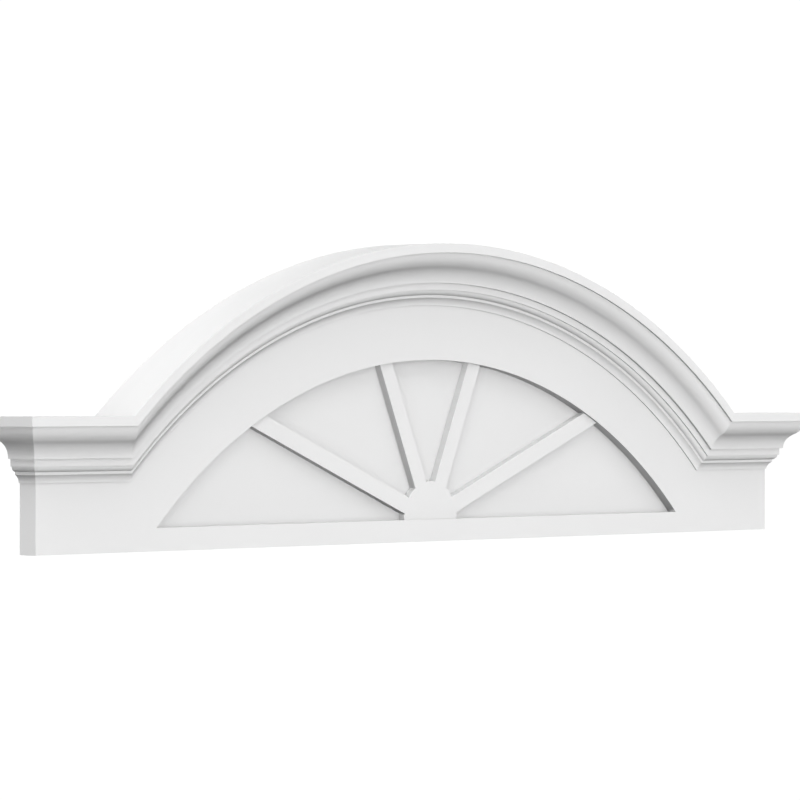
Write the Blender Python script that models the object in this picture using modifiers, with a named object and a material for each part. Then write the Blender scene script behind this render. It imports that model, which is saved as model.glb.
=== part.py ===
"""Segmental pediment for a door or window head, made of white cellular PVC board and moulding.

Metres, +Z up. The back lies on the wall plane Y = 0 and the front faces -Y. The pediment is symmetric about X = 0.
Everything is drawn with its bottom edge at height 0, under an empty that puts the origin at the middle of the back.
"""
import math

import bmesh
import bpy
from mathutils import Euler, Vector

# Face board: level wings, an arched head and a segmental opening
BOARD_THICKNESS = 0.0254
OPENING_WIDTH = 0.8711
OPENING_RISE = 0.1843
RAIL_HEIGHT = 0.0255
ARCH_BAND = 0.0630  # plain face between the opening's arc and the foot of the arched crown
WING_FACE_HEIGHT = 0.0762  # plain face from the bottom edge up to the foot of the level crown
WING_LENGTH = 0.1071  # level top from the end of the arch to the end of the board

# Tympanum panel: let into a rebate that is cut round the opening from behind
RECESS_DEPTH = 0.0127
REBATE_WIDTH = 0.0127

# Sunburst: a half-round hub and its spokes, cut from one sheet
SUNBURST_THICKNESS = 0.0089
HUB_RADIUS = 0.0442
SPOKE_WIDTH = 0.0195
SPOKE_LEANS = (-67.5, -22.5, 22.5, 67.5)  # degrees from upright

# Crown moulding, from its foot upwards
FOOT_STEP = 0.0015
COVE_RADIUS = 0.0103
COVE_LEAN = 59.1  # degrees that its top leans out
FILLET_HEIGHT = 0.0030
OVOLO_RADIUS = 0.0060
OVOLO_LEAN = 78.6  # degrees that its foot leans out
BAND_STEP = 0.0017
BAND_HEIGHT = 0.0080
CYMA_STEP = 0.0034
CYMA_UPRIGHT = 0.0012
CYMA_HOLLOW_RADIUS = 0.01905
CYMA_ROUND_RADIUS = 0.0193
CYMA_LEAN = 59.8  # degrees that it leans out where its hollow meets its round
FASCIA_STEP = 0.0029
FASCIA_HEIGHT = 0.0106

# Joints and fineness
JOINT_GAP = 0.0003
ARC_STEP = math.radians(1.5)  # one facet of the arch
PROFILE_FACETS = 6  # facets in each curve of the crown
MITRE_FACETS = 6  # facets of the slightly bowed mitre over the crown's height
HUB_FACETS = 96
OVERCUT = 0.010  # how far a cutter reaches past what it cuts
WELD_DISTANCE = 0.00001
SMOOTH_BELOW = math.radians(25)

WHITE = (0.90, 0.90, 0.90, 1.0)
PVC_ROUGHNESS = 0.55

# Which way an outline's own x, y and depth lie once it stands up
FACING_FRONT = Euler((math.radians(90), 0, 0))  # x to the right, y up, depth towards the front
FACING_BACK = Euler((math.radians(90), 0, math.radians(180)))  # x to the left, y up, depth towards the back
ALONG_WALL = Euler((math.radians(90), 0, math.radians(-90)))  # x towards the front, y up, depth to the left
LYING_FLAT = Euler((0, 0, 0))  # x to the right, y towards the back, depth up


def crown_profile():
    """(projection, height) points of the crown's moulded side, from the foot's corner to the outer top edge."""
    points = [(FOOT_STEP, 0.0)]

    def go(out, up):
        points.append((points[-1][0] + out, points[-1][1] + up))

    def curve(radius, first_lean, last_lean):
        """An arc between two leans from upright: a hollow where the lean grows, a round where it shrinks."""
        out, up = points[-1]
        for i in range(1, PROFILE_FACETS + 1):
            first = math.radians(first_lean)
            lean = math.radians(first_lean + (last_lean - first_lean) * i / PROFILE_FACETS)
            reach = abs(math.cos(first) - math.cos(lean)) * radius
            rise = abs(math.sin(first) - math.sin(lean)) * radius
            points.append((out + reach, up + rise))

    curve(COVE_RADIUS, 0.0, COVE_LEAN)
    go(0.0, FILLET_HEIGHT)
    curve(OVOLO_RADIUS, OVOLO_LEAN, 0.0)
    go(BAND_STEP, 0.0)
    go(0.0, BAND_HEIGHT)
    go(CYMA_STEP, 0.0)
    go(0.0, CYMA_UPRIGHT)
    curve(CYMA_HOLLOW_RADIUS, 0.0, CYMA_LEAN)
    curve(CYMA_ROUND_RADIUS, CYMA_LEAN, 0.0)
    go(FASCIA_STEP, 0.0)
    go(0.0, FASCIA_HEIGHT)
    return points


PROFILE = crown_profile()
CROWN_PROJECTION, CROWN_HEIGHT = PROFILE[-1]

# The arcs are all struck from one centre below the board
OPENING_RADIUS = (OPENING_WIDTH ** 2 / 4 + OPENING_RISE ** 2) / (2 * OPENING_RISE)
ARC_CENTRE_HEIGHT = RAIL_HEIGHT + OPENING_RISE - OPENING_RADIUS
CROWN_FOOT_RADIUS = OPENING_RADIUS + ARCH_BAND
HEAD_RADIUS = CROWN_FOOT_RADIUS + CROWN_HEIGHT
WING_TOP = WING_FACE_HEIGHT + CROWN_HEIGHT
OVERALL_HEIGHT = ARC_CENTRE_HEIGHT + HEAD_RADIUS


def half_chord(radius, height):
    """How far from the middle an arc struck from the common centre is at a height."""
    return math.sqrt(max(radius ** 2 - (height - ARC_CENTRE_HEIGHT) ** 2, 0.0))


BOARD_END = half_chord(HEAD_RADIUS, WING_TOP) + WING_LENGTH
PANEL_FRONT = RECESS_DEPTH - BOARD_THICKNESS  # the panel's front as a Y, as thick as the recess leaves it

model = bpy.data.collections.new("segmental_pediment")
cutters = bpy.data.collections.new("pediment_cutters")


def clear_scene():
    for old in list(bpy.data.objects):
        bpy.data.objects.remove(old, do_unlink=True)


def add_origin():
    """The empty that carries every piece, so that the origin is on the wall plane at half the overall height."""
    empty = bpy.data.objects.new("pediment_origin", None)
    empty.location = (0, 0, -OVERALL_HEIGHT / 2)
    model.objects.link(empty)
    return empty


def white_pvc(name):
    material = bpy.data.materials.new(name)
    material.use_nodes = True
    shader = material.node_tree.nodes["Principled BSDF"]
    shader.inputs["Base Color"].default_value = WHITE
    shader.inputs["Roughness"].default_value = PVC_ROUGHNESS
    shader.inputs["Metallic"].default_value = 0.0
    material.diffuse_color = WHITE
    return material


def place(obj, origin, cutter=False):
    obj.parent = origin
    if cutter:
        cutters.objects.link(obj)
        obj.hide_render = True
        obj.display_type = "WIRE"
    else:
        model.objects.link(obj)
        obj.data.materials.append(white_pvc(obj.name + "_pvc"))
    return obj


def slab(name, origin, outline, facing, depth, middle=(0, 0, 0), cutter=False):
    """A flat outline with a depth, as a mesh. middle is the point of space that the outline's own zero lies on."""
    curve = bpy.data.curves.new(name + "_outline", "CURVE")
    curve.dimensions = "2D"
    curve.fill_mode = "BOTH"
    curve.extrude = depth / 2
    spline = curve.splines.new("POLY")
    spline.points.add(len(outline) - 1)
    for point, (x, y) in zip(spline.points, outline):
        point.co = (x, y, 0, 1)
    spline.use_cyclic_u = True
    drawn = bpy.data.objects.new(name + "_outline", curve)
    bpy.context.scene.collection.objects.link(drawn)
    mesh = bpy.data.meshes.new_from_object(drawn.evaluated_get(bpy.context.evaluated_depsgraph_get()))
    bpy.data.objects.remove(drawn, do_unlink=True)
    close_up(mesh)
    solid = bpy.data.objects.new(name, mesh)
    solid.rotation_euler = facing
    solid.location = middle
    return place(solid, origin, cutter)


def close_up(mesh):
    """Welds a filled curve's loose caps to its sides and turns its faces outwards."""
    work = bmesh.new()
    work.from_mesh(mesh)
    bmesh.ops.remove_doubles(work, verts=work.verts, dist=WELD_DISTANCE)
    bmesh.ops.recalc_face_normals(work, faces=work.faces)
    work.to_mesh(mesh)
    work.free()
    mesh.shade_smooth()
    mesh.set_sharp_from_angle(angle=SMOOTH_BELOW)


def cut(obj, cutter, operation="DIFFERENCE"):
    modifier = obj.modifiers.new(operation.lower() + "_" + cutter.name, "BOOLEAN")
    modifier.operation = operation
    modifier.object = cutter
    modifier.solver = "EXACT"


def arc_points(radius, floor):
    """Points of the common arc from where it meets a level floor on the right to where it meets it on the left.

    Apart from those two ends they stand at whole arc steps, so that the facets of all the arcs line up.
    """
    end = math.asin(half_chord(radius, floor) / radius)
    whole = math.ceil(end / ARC_STEP) - 1
    angles = [end] + [i * ARC_STEP for i in range(whole, -whole - 1, -1)] + [-end]
    return [(radius * math.sin(a), ARC_CENTRE_HEIGHT + radius * math.cos(a)) for a in angles]


def mitre_line(gap):
    """Where the arched crown meets the level crown on the right, from below the foot to above the top.

    At each height of the profile, the arc and the level line at that height cross on it. gap moves it outwards.
    """
    line = []
    for i in range(-1, MITRE_FACETS + 2):
        rise = CROWN_HEIGHT * i / MITRE_FACETS
        height = WING_FACE_HEIGHT + rise
        line.append((half_chord(CROWN_FOOT_RADIUS + rise, height) + gap, height))
    return line


def arch_side(name, origin, gap):
    """The cutter that holds all that lies on the arch's side of both mitres."""
    right = mitre_line(gap)
    over_top = OVERALL_HEIGHT + OVERCUT
    outline = right + [(right[-1][0], over_top), (-right[-1][0], over_top)] + [(-x, z) for x, z in reversed(right)]
    depth = 2 * (CROWN_PROJECTION + OVERCUT)
    return slab(name, origin, outline, FACING_FRONT, depth, (0, -BOARD_THICKNESS, 0), cutter=True)


def corner_side(name, origin, side, keep_wing):
    """The cutter over one side of the upright mitre at a board end: what the wing's crown or the return loses."""
    gap = JOINT_GAP / math.sqrt(2)
    reach = CROWN_PROJECTION + 2 * OVERCUT
    shift = -gap if keep_wing else gap
    inner = (BOARD_END - OVERCUT + shift, -BOARD_THICKNESS + OVERCUT)
    outer = (BOARD_END + reach + shift, -BOARD_THICKNESS - reach)
    corner = (outer[0], inner[1]) if keep_wing else (inner[0], outer[1])
    outline = [(side * x, y) for x, y in (inner, outer, corner)]
    depth = CROWN_HEIGHT + 2 * OVERCUT
    middle = (0, 0, WING_FACE_HEIGHT + CROWN_HEIGHT / 2)
    return slab(name, origin, outline, LYING_FLAT, depth, middle, cutter=True)


def crown_section():
    """The crown's whole section, closed by a flat back that stands off the board by the joint's gap."""
    return [(JOINT_GAP, 0.0)] + PROFILE + [(JOINT_GAP, CROWN_HEIGHT)]


def make_face_board(origin):
    right_foot = [(BOARD_END, 0.0), (BOARD_END, WING_TOP)]
    left_foot = [(-BOARD_END, WING_TOP), (-BOARD_END, 0.0)]
    outline = right_foot + arc_points(HEAD_RADIUS, WING_TOP) + left_foot
    middle = (0, -BOARD_THICKNESS / 2, 0)
    board = slab("face_board", origin, outline, FACING_FRONT, BOARD_THICKNESS, middle)

    opening = arc_points(OPENING_RADIUS, RAIL_HEIGHT)
    through = BOARD_THICKNESS + 2 * OVERCUT
    cut(board, slab("opening_cutter", origin, opening, FACING_FRONT, through, middle, cutter=True))

    # The rebate stops one joint short of the panel's front
    rebate = arc_points(OPENING_RADIUS + REBATE_WIDTH, RAIL_HEIGHT - REBATE_WIDTH)
    shoulder = PANEL_FRONT - JOINT_GAP
    depth = OVERCUT - shoulder
    behind = (0, OVERCUT - depth / 2, 0)
    cut(board, slab("rebate_cutter", origin, rebate, FACING_FRONT, depth, behind, cutter=True))
    return board


def make_tympanum_panel(origin):
    reach = REBATE_WIDTH - JOINT_GAP
    outline = arc_points(OPENING_RADIUS + reach, RAIL_HEIGHT - reach)
    return slab("tympanum_panel", origin, outline, FACING_FRONT, -PANEL_FRONT, (0, PANEL_FRONT / 2, 0))


def make_sunburst(origin):
    """The hub and the spokes are joined oversize and then trimmed to the sheet's thickness and to the opening."""
    back = PANEL_FRONT - JOINT_GAP
    middle_y = back - SUNBURST_THICKNESS / 2
    centre = Vector((0, middle_y, RAIL_HEIGHT))
    work = bmesh.new()
    bmesh.ops.create_cone(
        work, cap_ends=True, segments=HUB_FACETS, radius1=HUB_RADIUS, radius2=HUB_RADIUS,
        depth=SUNBURST_THICKNESS + 2 * OVERCUT)
    mesh = bpy.data.meshes.new("sunburst")
    work.to_mesh(mesh)
    work.free()
    mesh.shade_smooth()
    mesh.set_sharp_from_angle(angle=SMOOTH_BELOW)
    hub = bpy.data.objects.new("sunburst", mesh)
    hub.rotation_euler = FACING_FRONT
    hub.location = centre
    place(hub, origin)

    length = OPENING_RADIUS
    half = SPOKE_WIDTH / 2
    for lean in SPOKE_LEANS:
        bar = [(-half, 0.0), (half, 0.0), (half, length), (-half, length)]
        name = f"spoke_bar_{lean:+.1f}"
        spoke = slab(name, origin, bar, FACING_FRONT, SUNBURST_THICKNESS + OVERCUT, centre, cutter=True)
        spoke.rotation_euler = (math.radians(90), math.radians(lean), 0)
        cut(hub, spoke, "UNION")

    outline = arc_points(OPENING_RADIUS - JOINT_GAP, RAIL_HEIGHT + JOINT_GAP)
    sheet = slab(
        "sunburst_sheet", origin, outline, FACING_FRONT, SUNBURST_THICKNESS, (0, middle_y, 0), cutter=True)
    cut(hub, sheet, "INTERSECT")
    return hub


def make_arched_crown(origin, arch_cutter):
    """The section is turned right round the arcs' centre, and the part between the mitres is kept."""
    mesh = bpy.data.meshes.new("arched_crown")
    section = crown_section()
    points = [(0, -BOARD_THICKNESS - out, CROWN_FOOT_RADIUS + up) for out, up in section]
    edges = [(i, (i + 1) % len(points)) for i in range(len(points))]
    mesh.from_pydata(points, edges, [])
    crown = bpy.data.objects.new("arched_crown", mesh)
    crown.location = (0, 0, ARC_CENTRE_HEIGHT)
    turned = crown.modifiers.new("round_the_arch", "SCREW")
    turned.axis = "Y"
    turned.angle = math.tau
    turned.steps = round(math.tau / ARC_STEP)
    turned.render_steps = turned.steps
    turned.use_merge_vertices = True
    turned.merge_threshold = WELD_DISTANCE
    turned.use_smooth_shade = True
    turned.use_normal_calculate = True
    place(crown, origin)
    cut(crown, arch_cutter, "INTERSECT")
    return crown


def make_level_crown(name, origin, side, arch_cutter, corner_cutter):
    inner = half_chord(CROWN_FOOT_RADIUS, WING_FACE_HEIGHT) - OVERCUT
    outer = BOARD_END + CROWN_PROJECTION + OVERCUT
    middle = (side * (inner + outer) / 2, -BOARD_THICKNESS, WING_FACE_HEIGHT)
    crown = slab(name, origin, crown_section(), ALONG_WALL, outer - inner, middle)
    cut(crown, arch_cutter)
    cut(crown, corner_cutter)
    return crown


def make_return(name, origin, side, corner_cutter):
    """The crown carried round the end of the board as far as the wall."""
    front = -BOARD_THICKNESS - CROWN_PROJECTION - OVERCUT
    facing = FACING_FRONT if side > 0 else FACING_BACK
    middle = (side * BOARD_END, front / 2, WING_FACE_HEIGHT)
    crown = slab(name, origin, crown_section(), facing, -front, middle)
    cut(crown, corner_cutter)
    return crown


def main():
    clear_scene()
    bpy.context.scene.collection.children.link(model)
    bpy.context.scene.collection.children.link(cutters)
    origin = add_origin()
    make_face_board(origin)
    make_tympanum_panel(origin)
    make_sunburst(origin)
    make_arched_crown(origin, arch_side("inside_the_arch_mitres", origin, -JOINT_GAP / 2))
    wings_cutter = arch_side("inside_the_wing_mitres", origin, JOINT_GAP / 2)
    for word, side in (("left", -1), ("right", 1)):
        beyond = corner_side(word + "_beyond_the_corner", origin, side, keep_wing=True)
        before = corner_side(word + "_before_the_corner", origin, side, keep_wing=False)
        make_level_crown(word + "_crown", origin, side, wings_cutter, beyond)
        make_return(word + "_return", origin, side, before)
    bpy.context.view_layer.update()


main()
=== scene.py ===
"""Looks of a segmental pediment of white cellular PVC, laid out as an add-on and run as a script.

Metres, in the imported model's frame: +Z up, the flat back on Y = 0, the decorated front facing -Y, and the
origin at the middle of the back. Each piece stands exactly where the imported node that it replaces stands.
"""

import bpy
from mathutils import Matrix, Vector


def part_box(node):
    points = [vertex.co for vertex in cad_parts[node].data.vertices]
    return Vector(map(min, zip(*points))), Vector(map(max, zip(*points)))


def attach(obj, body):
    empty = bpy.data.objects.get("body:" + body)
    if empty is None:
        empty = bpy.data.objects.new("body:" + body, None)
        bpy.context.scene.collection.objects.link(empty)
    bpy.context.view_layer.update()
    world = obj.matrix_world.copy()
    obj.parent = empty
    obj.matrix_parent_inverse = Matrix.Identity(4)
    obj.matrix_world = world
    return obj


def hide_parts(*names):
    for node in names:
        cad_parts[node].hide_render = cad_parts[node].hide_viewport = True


bl_info = {
    "name": "Segmental Pediment",
    "version": (1, 0, 0),
    "blender": (4, 5, 0),
    "location": "View3D > Sidebar > Pediment",
    "description": "Dresses the packed segmental pediment and sets up a soft white studio round it",
    "category": "Object",
}

import math

import bmesh
import bpy
from bpy.props import FloatProperty, FloatVectorProperty, IntProperty, PointerProperty
from mathutils import Vector

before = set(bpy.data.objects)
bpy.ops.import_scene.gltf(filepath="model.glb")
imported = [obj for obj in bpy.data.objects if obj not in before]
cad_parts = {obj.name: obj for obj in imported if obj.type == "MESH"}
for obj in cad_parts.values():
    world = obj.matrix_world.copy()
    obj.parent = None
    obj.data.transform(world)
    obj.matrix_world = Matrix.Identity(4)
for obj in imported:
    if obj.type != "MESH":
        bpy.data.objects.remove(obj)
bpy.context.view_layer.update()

BOARD_LOW, BOARD_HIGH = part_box("face_board")
PANEL_LOW, PANEL_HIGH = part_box("tympanum_panel")
SUNBURST_LOW, SUNBURST_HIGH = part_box("sunburst")
WING_LOW, WING_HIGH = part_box("right_crown")
BOARD_FRONT = BOARD_LOW.y
MATING_GAP = BOARD_FRONT - WING_HIGH.y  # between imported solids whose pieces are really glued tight
RAIL_TOP = SUNBURST_LOW.z - MATING_GAP

UV_MAP = "along_and_across"  # metres along a moulding and across its face
SPOKE_LEANS = (-67.5, -22.5, 22.5, 67.5)  # degrees from upright
SPOKE_END_FACETS = 4
HUB_STEP = math.radians(2)  # how much of the hub one facet turns
SHARP_ABOVE = math.radians(35)
CORNER_ABOVE = math.radians(30)  # a turn that is eased as a corner and isn't part of a curve
CORNER_FACETS = 4
ARRIS_SEGMENTS = 3
TOUCHING = 1e-6  # places this near each other are the same place
SKIN, CUT = 0, 1  # which of a board's two materials is on its rolled faces, and which on its routed edges
SENSOR_WIDTH = 36  # millimetres
VIEW_REACH = 100

# Each lamp has its degrees round from square to the front, positive to the viewer's right, its degrees up,
# its strength and whether it casts shadows. Those without shadows stand for the light that a white studio
# throws back into every corner.
SOFT_LAMPS = (
    (-45, 55, 0.22, True),
    (-90, 55, 0.22, True),
    (-60, -5, 0.22, True),
    (0, 25, 0.18, True),
    (0, -5, 0.18, True),
    (45, 55, 0.18, True),
    (180, 55, 0.18, True),
    (90, 25, 0.11, True),
    (-90, -35, 0.11, True),
    (60, -65, 0.11, True),
    (-30, 25, 0.45, False),
    (150, -5, 0.24, False),
    (-150, 25, 0.11, False),
)


def linear(hex_colour):
    """A colour picked as sRGB hex, as the linear values that Blender works in."""
    values = [int(hex_colour[i:i + 2], 16) / 255 for i in (1, 3, 5)]
    return tuple(v / 12.92 if v <= 0.04045 else ((v + 0.055) / 1.055) ** 2.4 for v in values)


def length(name, description, default):
    return FloatProperty(
        name=name, description=description, default=default, precision=5, unit="LENGTH", subtype="DISTANCE")


class PedimentShape(bpy.types.PropertyGroup):
    """Sizes of the board, the recess and what stands in it."""

    opening_width: length("Opening width", "Width of the opening along the rail", 0.8711)
    opening_rise: length("Opening rise", "Height of the opening above the rail", 0.1843)
    rebate_width: length("Rebate", "How far the panel reaches behind the board round the opening", 0.0127)
    hub_radius: length("Hub radius", "Radius of the half-round hub", 0.0442)
    spoke_width: length("Spoke width", "Width of each spoke", 0.0195)
    arris: length("Eased edge", "Radius that the machined edges are eased to", 0.0001)
    arc_step: FloatProperty(
        name="Arc step", description="How much of the arch one facet turns", default=math.radians(0.5),
        subtype="ANGLE", unit="ROTATION")
    curve_facets: IntProperty(
        name="Curve facets", description="Facets in each curve of the crown's section", default=16, min=4)


class CrownSection(bpy.types.PropertyGroup):
    """The crown's section, from its foot upwards."""

    foot_step: length("Foot step", "How far the foot stands out from the board", 0.0015)
    cove_radius: length("Cove radius", "Radius of the hollow over the foot", 0.0103)
    fillet_height: length("Fillet", "Height of the flat between the cove and the ovolo", 0.0030)
    ovolo_radius: length("Ovolo radius", "Radius of the round under the band", 0.0060)
    band_step: length("Band step", "How far the band stands out from the ovolo", 0.0017)
    band_height: length("Band height", "Height of the flat band", 0.0080)
    cyma_step: length("Cyma step", "How far the cyma's foot stands out from the band", 0.0034)
    cyma_upright: length("Cyma upright", "Height of the flat under the hollow", 0.0012)
    hollow_radius: length("Hollow radius", "Radius of the cyma's hollow", 0.01905)
    round_radius: length("Round radius", "Radius of the cyma's round", 0.0193)
    fascia_step: length("Fascia step", "How far the fascia stands out from the round", 0.0029)
    fascia_height: length("Fascia height", "Height of the flat fascia at the top", 0.0106)
    cove_lean: FloatProperty(
        name="Cove lean", description="How far the cove's top leans out", default=math.radians(59.1),
        subtype="ANGLE", unit="ROTATION")
    ovolo_lean: FloatProperty(
        name="Ovolo lean", description="How far the ovolo's foot leans out", default=math.radians(78.6),
        subtype="ANGLE", unit="ROTATION")
    cyma_lean: FloatProperty(
        name="Cyma lean", description="How far the cyma leans out where its hollow meets its round",
        default=math.radians(59.8), subtype="ANGLE", unit="ROTATION")


class PedimentFinish(bpy.types.PropertyGroup):
    """The white of the PVC."""

    sheet_white: FloatVectorProperty(
        name="Sheet", description="Colour of the extruded sheet", subtype="COLOR",
        default=linear("#EDEDED"), min=0, max=1)
    moulding_white: FloatVectorProperty(
        name="Moulding", description="Colour of the milled moulding", subtype="COLOR",
        default=linear("#EDEDED"), min=0, max=1)
    ior: FloatProperty(name="IOR", description="Index of refraction of PVC", default=1.53, min=1)


class StudioSetup(bpy.types.PropertyGroup):
    """The camera, the floor and the light."""

    camera_place: FloatVectorProperty(
        name="Camera", description="Where the camera stands", subtype="TRANSLATION", unit="LENGTH",
        default=(-3.5768, -3.3974, -0.0013))
    camera_heading: FloatProperty(
        name="Heading", description="How far the camera turns from facing the wall squarely",
        default=math.radians(-46.245), subtype="ANGLE", unit="ROTATION")
    focal_length: FloatProperty(
        name="Focal length", description="Focal length on a 36 mm wide sensor", default=191.32,
        subtype="DISTANCE_CAMERA", unit="CAMERA")
    view_drop: FloatProperty(
        name="View drop", description="Vertical shift of the view, in frame widths", default=-0.00755)
    floor_drop: length("Floor", "How far the floor is below the pediment", 8.0)
    floor_size: length("Floor size", "Width of the floor", 120.0)
    white: FloatVectorProperty(
        name="White", description="Colour of the floor and the surround", subtype="COLOR",
        default=linear("#FFFFFF"), min=0, max=1)
    surround: FloatProperty(
        name="Surround", description="Brightness of the floor and the surround to the camera",
        default=1.05, min=0)
    lamp_strength: FloatProperty(
        name="Lamps", description="Strength of all the lamps together", default=1.005, min=0)
    lamp_softness: FloatProperty(
        name="Softness", description="How wide each lamp looks from the pediment", default=math.radians(34),
        subtype="ANGLE", unit="ROTATION")


def pediment_arc(shape):
    """(centre height, opening radius) of the arcs, which are all struck from one centre below the board."""
    radius = (shape.opening_width ** 2 / 4 + shape.opening_rise ** 2) / (2 * shape.opening_rise)
    return RAIL_TOP + shape.opening_rise - radius, radius


def half_chord(radius, centre, height):
    return math.sqrt(max(radius ** 2 - (height - centre) ** 2, 0.0))


def arc_points(radius, centre, floor, step):
    """The arc from where it meets a level floor on the right to where it meets it on the left."""
    end = math.asin(half_chord(radius, centre, floor) / radius)
    count = 2 * math.ceil(end / step)
    angles = [end - 2 * end * i / count for i in range(count + 1)]
    return [(radius * math.sin(a), centre + radius * math.cos(a)) for a in angles]


def crown_section(section, facets):
    """(out, up) points round the crown's section, from the foot at the board to the top at the board."""
    points = [(0.0, 0.0)]

    def go(out, up):
        points.append((points[-1][0] + out, points[-1][1] + up))

    def curve(radius, first, last):
        """An arc between two leans from upright: a hollow where the lean grows, a round where it shrinks."""
        out, up = points[-1]
        for i in range(1, facets + 1):
            lean = first + (last - first) * i / facets
            points.append((
                out + abs(math.cos(first) - math.cos(lean)) * radius,
                up + abs(math.sin(first) - math.sin(lean)) * radius))

    go(section.foot_step, 0.0)
    curve(section.cove_radius, 0.0, section.cove_lean)
    go(0.0, section.fillet_height)
    curve(section.ovolo_radius, section.ovolo_lean, 0.0)
    go(section.band_step, 0.0)
    go(0.0, section.band_height)
    go(section.cyma_step, 0.0)
    go(0.0, section.cyma_upright)
    curve(section.hollow_radius, 0.0, section.cyma_lean)
    curve(section.round_radius, section.cyma_lean, 0.0)
    go(section.fascia_step, 0.0)
    go(0.0, section.fascia_height)
    points.append((0.0, points[-1][1]))
    return points


def ease(points, radius):
    """The points with each outward corner turned into a small arc. The solid is on the left of their run."""
    eased = [points[0]]
    for before, corner, after in zip(points, points[1:], points[2:]):
        a, b = Vector(corner) - Vector(before), Vector(after) - Vector(corner)
        turn = math.atan2(a.x * b.y - a.y * b.x, a.dot(b))
        if turn < CORNER_ABOVE:
            eased.append(corner)
            continue
        a.normalize()
        b.normalize()
        start = Vector(corner) - a * radius * math.tan(turn / 2)
        centre = start + Vector((-a.y, a.x)) * radius
        spoke = start - centre
        for i in range(CORNER_FACETS + 1):
            angle = turn * i / CORNER_FACETS
            eased.append((
                centre.x + spoke.x * math.cos(angle) - spoke.y * math.sin(angle),
                centre.y + spoke.x * math.sin(angle) + spoke.y * math.cos(angle)))
    return eased + [points[-1]]


def milled_section(scene):
    """The crown's section with its outward corners eased."""
    shape = scene.pediment_shape
    return ease(crown_section(scene.pediment_crown, shape.curve_facets), shape.arris)


def foot_radius(section, centre):
    """The radius of the arched crown's foot, whose top is level with the board's head."""
    return BOARD_HIGH.z - centre - section[-1][1]


def moulding(name, rings, along, section, material):
    """A closed run of moulding through rings of points, one ring for each place along it."""
    work = bmesh.new()
    verts = [[work.verts.new(p) for p in ring] for ring in rings]
    across = [0.0]
    for p, q in zip(section, section[1:] + section[:1]):
        across.append(across[-1] + math.dist(p, q))
    uv = work.loops.layers.uv.new(UV_MAP)
    count = len(section)
    for i in range(len(rings) - 1):
        for j in range(count):
            k = (j + 1) % count
            face = work.faces.new((verts[i][j], verts[i + 1][j], verts[i + 1][k], verts[i][k]))
            corners = ((i, j), (i + 1, j), (i + 1, j + 1), (i, j + 1))
            for loop, (s, t) in zip(face.loops, corners):
                loop[uv].uv = (along[s], across[t])
    for end, ring in ((0, verts[0]), (-1, verts[-1])):
        cap = work.faces.new(ring)
        for loop, t in zip(cap.loops, across):
            loop[uv].uv = (along[end], t)
    bmesh.ops.recalc_face_normals(work, faces=work.faces)
    return finish_piece(name, work, [material])


def finish_piece(name, work, materials, arris=0.0):
    """Turns the work into an object with smooth curves, crisp flats and, where weights ask, eased edges."""
    mesh = bpy.data.meshes.new(name)
    work.to_mesh(mesh)
    work.free()
    mesh.shade_smooth()
    mesh.set_sharp_from_angle(angle=SHARP_ABOVE)
    for material in materials:
        mesh.materials.append(material)
    piece = bpy.data.objects.new(name, mesh)
    bpy.context.scene.collection.objects.link(piece)
    if arris:
        for edge in mesh.edges:
            if mesh.attributes["bevel_weight_edge"].data[edge.index].value:
                edge.use_edge_sharp = False
        bevel = piece.modifiers.new("eased_edges", "BEVEL")
        bevel.limit_method = "WEIGHT"
        bevel.width = arris
        bevel.segments = ARRIS_SEGMENTS
        bevel.use_clamp_overlap = True
    flats = piece.modifiers.new("crisp_flats", "WEIGHTED_NORMAL")
    flats.keep_sharp = True
    flats.weight = 100  # the broad faces alone decide
    return piece


def stand_for(piece, node):
    """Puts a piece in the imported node's place."""
    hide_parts(node)
    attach(piece, "root")


def loop_of(work, outline, y):
    """A closed run of edges along an outline at one depth."""
    verts = [work.verts.new((x, y, z)) for x, z in outline]
    for a, b in zip(verts, verts[1:] + verts[:1]):
        work.edges.new((a, b))
    return verts


def wall_between(work, near, far, index):
    for i in range(len(near)):
        j = (i + 1) % len(near)
        work.faces.new((near[i], near[j], far[j], far[i])).material_index = index


def ring_face(work, outer, inner, index):
    """Two flat faces that together fill the space between two outlines, joined on the middle line."""
    def middle(verts, top):
        ends = [i for i, v in enumerate(verts) if abs(v.co.x) < TOUCHING]
        return max(ends, key=lambda i: verts[i].co.z * (1 if top else -1))

    def run(verts, start, stop, step):
        found = [start]
        while found[-1] != stop:
            found.append((found[-1] + step) % len(verts))
        return [verts[i] for i in found]

    for step in (1, -1):
        outside = run(outer, middle(outer, False), middle(outer, True), step)
        inside = run(inner, middle(inner, True), middle(inner, False), -step)
        work.faces.new(outside + inside).material_index = index


def add_node(tree, kind, inputs=None, **settings):
    """Adds a node with its settings. An input is a value, or the output that feeds it."""
    node = tree.nodes.new(kind)
    for name, value in settings.items():
        setattr(node, name, value)
    for name, value in (inputs or {}).items():
        if isinstance(value, bpy.types.NodeSocket):
            tree.links.new(value, node.inputs[name])
        else:
            node.inputs[name].default_value = value
    return node


def per_metre(millimetres):
    """The texture scale that gives a pattern of this size."""
    return 1000 / millimetres


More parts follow.
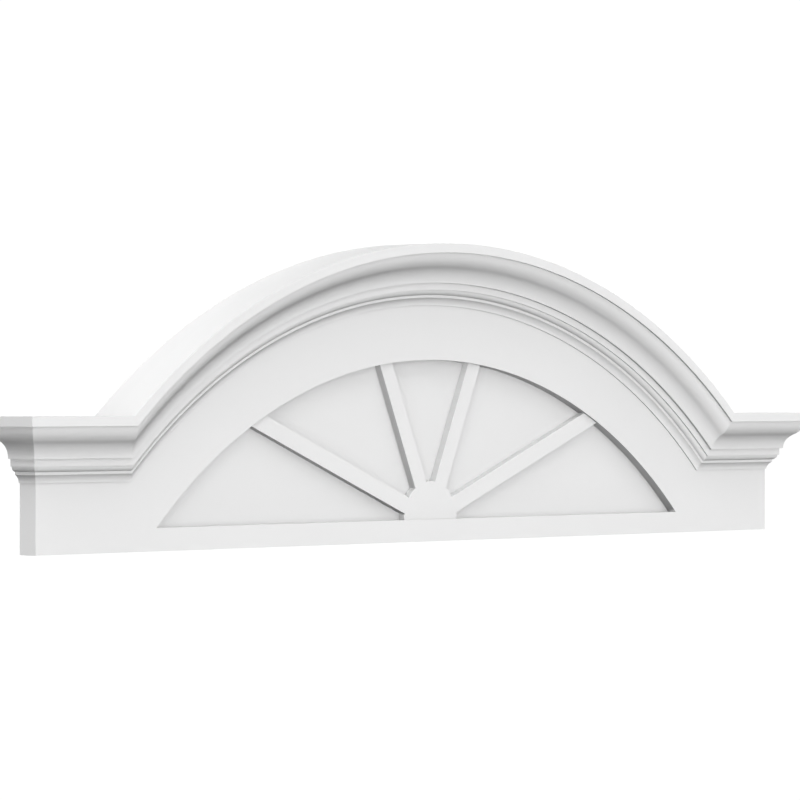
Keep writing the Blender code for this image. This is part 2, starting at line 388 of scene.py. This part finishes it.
def pvc(name, colour, ior, patterns):
    """A white PVC. patterns gives its (height, depth in metres) pairs, its roughness and its tone."""
    material = bpy.data.materials.get(name)
    if material:
        return material
    material = bpy.data.materials.new(name)
    material.use_nodes = True
    tree = material.node_tree
    tree.nodes.clear()
    relief, roughness, tone = patterns(tree)
    normal = None
    for height, depth in relief:
        inputs = {"Height": height, "Distance": depth, "Strength": 1.0}
        if normal:
            inputs["Normal"] = normal
        normal = add_node(tree, "ShaderNodeBump", inputs).outputs["Normal"]
    shade = add_node(tree, "ShaderNodeHueSaturation", {"Color": (*colour, 1), "Value": tone})
    shader = add_node(tree, "ShaderNodeBsdfPrincipled", {
        "Base Color": shade.outputs["Color"], "Roughness": roughness, "IOR": ior, "Metallic": 0.0,
        "Normal": normal})
    add_node(tree, "ShaderNodeOutputMaterial", {"Surface": shader.outputs["BSDF"]})
    material.diffuse_color = (*colour, 1)
    return material


def span(tree, source, low, high):
    """A pattern's 0.3 to 0.7, where noise mostly lies, spread over a range."""
    return add_node(tree, "ShaderNodeMapRange", {
        "Value": source, "From Min": 0.3, "From Max": 0.7, "To Min": low, "To Max": high}).outputs["Result"]


def extruded_sheet(finish):
    """PVC sheet, extruded. Its rolled skin is smooth and evenly matt, and only a low light finds its peel."""
    def patterns(tree):
        place = add_node(tree, "ShaderNodeTexCoord").outputs["Object"]
        # The peel is really about 1.5 mm from dimple to dimple, and twice that here, so that it isn't finer
        # than a pixel.
        peel = add_node(tree, "ShaderNodeTexNoise", {"Vector": place, "Scale": per_metre(3.0), "Detail": 1.0})
        # The rolls leave waves along the sheet, 40 mm apart and almost flat.
        drawn_out = add_node(tree, "ShaderNodeMapping", {"Vector": place, "Scale": (0.1, 1.0, 1.0)})
        waves = add_node(tree, "ShaderNodeTexNoise", {
            "Vector": drawn_out.outputs["Vector"], "Scale": per_metre(40), "Detail": 1.0})
        cloud = add_node(tree, "ShaderNodeTexNoise", {
            "Vector": place, "Scale": per_metre(150), "Detail": 2.0}).outputs["Fac"]
        relief = [(waves.outputs["Fac"], 0.00006), (peel.outputs["Fac"], 0.000006)]
        return relief, span(tree, cloud, 0.50, 0.56), span(tree, cloud, 0.992, 1.0)

    return pvc("PVC sheet, extruded", finish.sheet_white, finish.ior, patterns)


def routed_edge(finish):
    """PVC sheet, routed. The cut opens the foam's small cells, so edges are rougher than the skin."""
    def patterns(tree):
        place = add_node(tree, "ShaderNodeTexCoord").outputs["Object"]
        # The cells are 0.3 mm across, and four times that here, so that they aren't finer than a pixel.
        cells = add_node(
            tree, "ShaderNodeTexVoronoi", {"Vector": place, "Scale": per_metre(1.2)}, feature="SMOOTH_F1")
        cloud = add_node(tree, "ShaderNodeTexNoise", {
            "Vector": place, "Scale": per_metre(60), "Detail": 2.0}).outputs["Fac"]
        relief = [(cells.outputs["Distance"], 0.000008)]
        return relief, span(tree, cloud, 0.62, 0.70), span(tree, cloud, 0.990, 0.998)

    return pvc("PVC sheet, routed", finish.sheet_white, finish.ior, patterns)


def milled_moulding(finish):
    """PVC moulding, milled. The cutters leave fine lines all along it, and the knives a faint even ripple."""
    def patterns(tree):
        run = add_node(tree, "ShaderNodeUVMap", uv_map=UV_MAP).outputs["UV"]
        drawn_out = add_node(tree, "ShaderNodeMapping", {"Vector": run, "Scale": (0.004, 1.0, 1.0)})
        # The lines are 0.7 mm apart, and twice that here, so that they aren't finer than a pixel.
        lines = add_node(tree, "ShaderNodeTexNoise", {
            "Vector": drawn_out.outputs["Vector"], "Scale": per_metre(1.4), "Detail": 1.0})
        # The knives strike every 1.2 mm, and every 2.4 mm here for the same reason. A wave repeats after
        # 0.314 units.
        knives = add_node(tree, "ShaderNodeTexWave", {"Vector": run, "Scale": 0.314 * per_metre(2.4)})
        cloud = add_node(tree, "ShaderNodeTexNoise", {
            "Vector": run, "Scale": per_metre(120), "Detail": 2.0}).outputs["Fac"]
        relief = [(lines.outputs["Fac"], 0.000006), (knives.outputs["Fac"], 0.0000015)]
        return relief, span(tree, cloud, 0.50, 0.57), span(tree, cloud, 0.992, 1.0)

    return pvc("PVC moulding, milled", finish.moulding_white, finish.ior, patterns)


class PEDIMENT_OT_face_board(bpy.types.Operator):
    """Make the face board with its arched head, level wings, opening and rebate"""

    bl_idname = "pediment.face_board"
    bl_label = "Face board"

    def execute(self, context):
        shape, finish = context.scene.pediment_shape, context.scene.pediment_finish
        centre, radius = pediment_arc(shape)
        end, bottom, wing_top = BOARD_HIGH.x, BOARD_LOW.z, WING_HIGH.z
        head = arc_points(BOARD_HIGH.z - centre, centre, wing_top, shape.arc_step)
        right = [(0.0, bottom), (end, bottom), (end, WING_LOW.z), (end, wing_top)]
        outline = right + head + [(-x, z) for x, z in reversed(right[1:])]
        opening = [(0.0, RAIL_TOP)] + arc_points(radius, centre, RAIL_TOP, shape.arc_step)
        reach = shape.rebate_width
        sill = RAIL_TOP - reach
        rebate = [(0.0, sill)] + arc_points(radius + reach, centre, sill, shape.arc_step)
        shoulder = PANEL_LOW.y - MATING_GAP

        work = bmesh.new()
        front, back = loop_of(work, outline, BOARD_FRONT), loop_of(work, outline, BOARD_HIGH.y)
        mouth, lip = loop_of(work, opening, BOARD_FRONT), loop_of(work, opening, shoulder)
        ledge, rim = loop_of(work, rebate, shoulder), loop_of(work, rebate, BOARD_HIGH.y)
        for near, far in ((front, back), (mouth, lip), (ledge, rim)):
            wall_between(work, near, far, CUT)
        for outer, inner in ((front, mouth), (ledge, lip), (back, rim)):
            ring_face(work, outer, inner, SKIN)
        bmesh.ops.recalc_face_normals(work, faces=work.faces)

        # Every edge is eased but those where the crown and the panel are glued on
        weight = work.edges.layers.float.new("bevel_weight_edge")
        work.edges.ensure_lookup_table()
        for edge in work.edges:
            if len(edge.link_faces) != 2 or edge.calc_face_angle(0) < CORNER_ABOVE:
                continue
            middle = (edge.verts[0].co + edge.verts[1].co) / 2
            above_foot = middle.z > WING_LOW.z + TOUCHING
            at_crown = above_foot and middle.y < BOARD_HIGH.y - TOUCHING
            at_return = above_foot and abs(abs(middle.x) - end) < TOUCHING
            round_mouth = edge.verts[0] in mouth and edge.verts[1] in mouth
            on_outline = edge.verts[0] in front or edge.verts[0] in back
            if round_mouth or (on_outline and not at_return and not at_crown):
                edge[weight] = 1
        board = finish_piece(
            "face_board_machined", work, [extruded_sheet(finish), routed_edge(finish)], shape.arris)
        stand_for(board, "face_board")
        return {"FINISHED"}


class PEDIMENT_OT_tympanum_panel(bpy.types.Operator):
    """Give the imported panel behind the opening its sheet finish"""

    bl_idname = "pediment.tympanum_panel"
    bl_label = "Tympanum panel"

    def execute(self, context):
        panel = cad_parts["tympanum_panel"]
        material = extruded_sheet(context.scene.pediment_finish)
        if not panel.material_slots:
            raise RuntimeError("the packed panel has no material slot to fill")
        for slot in panel.material_slots:
            slot.material = material
        return {"FINISHED"}


class PEDIMENT_OT_sunburst(bpy.types.Operator):
    """Make the half-round hub and its spokes from one sheet"""

    bl_idname = "pediment.sunburst"
    bl_label = "Sunburst"

    def execute(self, context):
        shape, finish = context.scene.pediment_shape, context.scene.pediment_finish
        centre, radius = pediment_arc(shape)
        half = shape.spoke_width / 2
        notch = math.asin(half / shape.hub_radius)

        def on_hub(angle):
            return (shape.hub_radius * math.sin(angle), RAIL_TOP + shape.hub_radius * math.cos(angle))

        def on_arch(lean, side):
            """Where a spoke's edge meets the opening's arc."""
            along = Vector((math.sin(lean), math.cos(lean)))
            start = Vector((0, RAIL_TOP - centre)) + Vector((along.y, -along.x)) * half * side
            b = start.dot(along)
            end = start + along * (math.sqrt(b * b - start.length_squared + radius ** 2) - b)
            return math.atan2(end.x, end.y)

        outline = []
        at = math.pi / 2
        for lean in [math.radians(a) for a in reversed(SPOKE_LEANS)] + [None]:
            stop = -math.pi / 2 if lean is None else lean + notch
            count = max(2, math.ceil((at - stop) / HUB_STEP))
            outline += [on_hub(at - (at - stop) * i / count) for i in range(count + 1)]
            if lean is not None:
                first, last = on_arch(lean, 1), on_arch(lean, -1)
                for i in range(SPOKE_END_FACETS + 1):
                    a = first + (last - first) * i / SPOKE_END_FACETS
                    outline.append((radius * math.sin(a), centre + radius * math.cos(a)))
                at = lean - notch

        work = bmesh.new()
        front = loop_of(work, outline, SUNBURST_LOW.y)
        back = loop_of(work, outline, SUNBURST_HIGH.y)
        wall_between(work, front, back, CUT)
        for verts in (front, back):
            work.faces.new(verts).material_index = SKIN
        bmesh.ops.recalc_face_normals(work, faces=work.faces)
        weight = work.edges.layers.float.new("bevel_weight_edge")

        def fitted(vert):
            """Whether it stands against the rail or the opening's arc."""
            on_arc = abs(math.hypot(vert.co.x, vert.co.z - centre) - radius) < TOUCHING
            return on_arc or vert.co.z < RAIL_TOP + TOUCHING

        for a, b in zip(front, front[1:] + front[:1]):
            if not (fitted(a) and fitted(b)):
                work.edges.get((a, b))[weight] = 1
        sunburst = finish_piece(
            "sunburst_machined", work, [extruded_sheet(finish), routed_edge(finish)], shape.arris)
        stand_for(sunburst, "sunburst")
        return {"FINISHED"}


class PEDIMENT_OT_arched_crown(bpy.types.Operator):
    """Run the crown moulding round the arch from mitre to mitre"""

    bl_idname = "pediment.arched_crown"
    bl_label = "Arched crown"

    def execute(self, context):
        shape = context.scene.pediment_shape
        centre, _ = pediment_arc(shape)
        section = milled_section(context.scene)
        foot = foot_radius(section, centre)
        ends = [math.asin(half_chord(foot + up, centre, WING_LOW.z + up) / (foot + up)) for _, up in section]
        count = 2 * math.ceil(max(ends) / shape.arc_step)
        rings, along = [], []
        for i in range(count + 1):
            share = 2 * i / count - 1
            ring = []
            for (out, up), end in zip(section, ends):
                angle, radius = share * end, foot + up
                ring.append((radius * math.sin(angle), BOARD_FRONT - out, centre + radius * math.cos(angle)))
            rings.append(ring)
            along.append(share * max(ends) * foot)
        crown = moulding(
            "arched_crown_moulding", rings, along, section, milled_moulding(context.scene.pediment_finish))
        stand_for(crown, "arched_crown")
        return {"FINISHED"}


class PEDIMENT_OT_level_crowns(bpy.types.Operator):
    """Run the level crown over each wing, from the arch's mitre to the corner's"""

    bl_idname = "pediment.level_crowns"
    bl_label = "Level crowns"

    def execute(self, context):
        centre, _ = pediment_arc(context.scene.pediment_shape)
        section = milled_section(context.scene)
        foot = foot_radius(section, centre)
        material = milled_moulding(context.scene.pediment_finish)
        for word, side in (("left", -1), ("right", 1)):
            rings = [[], []]
            for out, up in section:
                z = WING_LOW.z + up
                inner, outer = half_chord(foot + up, centre, z), BOARD_HIGH.x + out
                for ring, x in zip(rings, (inner, outer)):
                    ring.append((side * x, BOARD_FRONT - out, z))
            crown = moulding(
                word + "_crown_moulding", rings, [WING_LOW.x, WING_HIGH.x], section, material)
            stand_for(crown, word + "_crown")
        return {"FINISHED"}


class PEDIMENT_OT_crown_returns(bpy.types.Operator):
    """Carry the crown round each end of the board to the wall"""

    bl_idname = "pediment.crown_returns"
    bl_label = "Crown returns"

    def execute(self, context):
        section = milled_section(context.scene)
        material = milled_moulding(context.scene.pediment_finish)
        for word, side in (("left", -1), ("right", 1)):
            rings = [
                [(side * (BOARD_HIGH.x + out), BOARD_FRONT - out, WING_LOW.z + up) for out, up in section],
                [(side * (BOARD_HIGH.x + out), BOARD_HIGH.y, WING_LOW.z + up) for out, up in section]]
            piece = moulding(word + "_return_moulding", rings, [0.0, -WING_LOW.y], section, material)
            stand_for(piece, word + "_return")
        return {"FINISHED"}


class PEDIMENT_OT_studio(bpy.types.Operator):
    """Set up the camera, the plain pale floor and the soft light"""

    bl_idname = "pediment.studio"
    bl_label = "Studio"

    def execute(self, context):
        scene, studio = context.scene, context.scene.pediment_studio
        scene.view_settings.view_transform = "Standard"

        camera = bpy.data.cameras.new("camera")
        camera.lens = studio.focal_length
        camera.sensor_width = SENSOR_WIDTH
        camera.shift_y = studio.view_drop
        camera.clip_end = VIEW_REACH
        stand = bpy.data.objects.new("camera", camera)
        stand.location = studio.camera_place
        stand.rotation_euler = (math.radians(90), 0, studio.camera_heading)
        scene.collection.objects.link(stand)
        scene.camera = stand

        work = bmesh.new()
        bmesh.ops.create_grid(work, x_segments=1, y_segments=1, size=studio.floor_size / 2)
        mesh = bpy.data.meshes.new("floor")
        work.to_mesh(mesh)
        work.free()
        floor = bpy.data.objects.new("floor", mesh)
        floor.location = (0, 0, BOARD_LOW.z - studio.floor_drop)
        scene.collection.objects.link(floor)
        # Floor paint, rolled: flat white, lit by lamps of its own so that it is as white as the surround
        paint = bpy.data.materials.new("Floor paint, rolled")
        paint.use_nodes = True
        paint.node_tree.nodes.clear()
        shader = add_node(paint.node_tree, "ShaderNodeBsdfPrincipled", {
            "Base Color": (*studio.white, 1), "Roughness": 0.9, "Emission Color": (*studio.white, 1),
            "Emission Strength": studio.surround})
        add_node(paint.node_tree, "ShaderNodeOutputMaterial", {"Surface": shader.outputs["BSDF"]})
        mesh.materials.append(paint)
        # The pediment hangs far above the floor and takes no light from it. The low lamps, which stand for
        # what a pale studio floor throws up, shine through it.
        floor.visible_diffuse = floor.visible_glossy = floor.visible_shadow = False

        for number, (azimuth, elevation, strength, shadows) in enumerate(SOFT_LAMPS, 1):
            a, e = math.radians(azimuth), math.radians(elevation)
            towards = Vector((math.sin(a) * math.cos(e), -math.cos(a) * math.cos(e), math.sin(e)))
            data = bpy.data.lights.new(f"soft_lamp_{number}", "SUN")
            data.energy = math.pi * strength * studio.lamp_strength
            data.angle = studio.lamp_softness
            data.use_shadow = shadows
            # Rays sent out at chance would be stopped by the pediment, so a lamp without shadows takes none
            data.cycles.use_multiple_importance_sampling = shadows
            lamp = bpy.data.objects.new(data.name, data)
            lamp.rotation_euler = towards.to_track_quat("Z", "Y").to_euler()
            scene.collection.objects.link(lamp)
        # The lamps without shadows already stand for the light that bounces from one white face to another
        scene.cycles.diffuse_bounces = 0

        world = bpy.data.worlds.new("studio")
        scene.world = world
        world.use_nodes = True
        tree = world.node_tree
        tree.nodes.clear()
        unlit = add_node(tree, "ShaderNodeBackground", {"Strength": 0.0})
        seen = add_node(tree, "ShaderNodeBackground", {
            "Color": (*studio.white, 1), "Strength": studio.surround})
        path = add_node(tree, "ShaderNodeLightPath")
        mix = add_node(tree, "ShaderNodeMixShader", {
            0: path.outputs["Is Camera Ray"], 1: unlit.outputs["Background"], 2: seen.outputs["Background"]})
        add_node(tree, "ShaderNodeOutputWorld", {"Surface": mix.outputs["Shader"]})
        return {"FINISHED"}


class PEDIMENT_PT_sidebar(bpy.types.Panel):
    """The pediment's sizes, finishes and steps."""

    bl_label = "Segmental pediment"
    bl_idname = "PEDIMENT_PT_sidebar"
    bl_space_type = "VIEW_3D"
    bl_region_type = "UI"
    bl_category = "Pediment"

    def draw(self, context):
        for operator in OPERATORS:
            self.layout.operator(operator.bl_idname)
        for name in GROUPS:
            settings = getattr(context.scene, name)
            box = self.layout.box()
            for key in settings.bl_rna.properties.keys():
                if key not in ("rna_type", "name"):
                    box.prop(settings, key)


GROUPS = {
    "pediment_shape": PedimentShape,
    "pediment_crown": CrownSection,
    "pediment_finish": PedimentFinish,
    "pediment_studio": StudioSetup,
}
OPERATORS = (
    PEDIMENT_OT_face_board,
    PEDIMENT_OT_tympanum_panel,
    PEDIMENT_OT_sunburst,
    PEDIMENT_OT_arched_crown,
    PEDIMENT_OT_level_crowns,
    PEDIMENT_OT_crown_returns,
    PEDIMENT_OT_studio,
)


def register():
    for cls in (*GROUPS.values(), *OPERATORS, PEDIMENT_PT_sidebar):
        bpy.utils.register_class(cls)
    for name, group in GROUPS.items():
        setattr(bpy.types.Scene, name, PointerProperty(type=group))


def unregister():
    for name in GROUPS:
        delattr(bpy.types.Scene, name)
    for cls in reversed((*GROUPS.values(), *OPERATORS, PEDIMENT_PT_sidebar)):
        bpy.utils.unregister_class(cls)


def main():
    register()
    bpy.ops.pediment.face_board()
    bpy.ops.pediment.tympanum_panel()
    bpy.ops.pediment.sunburst()
    bpy.ops.pediment.arched_crown()
    bpy.ops.pediment.level_crowns()
    bpy.ops.pediment.crown_returns()
    bpy.ops.pediment.studio()
    bpy.context.view_layer.update()


if __name__ == "__main__":
    main()
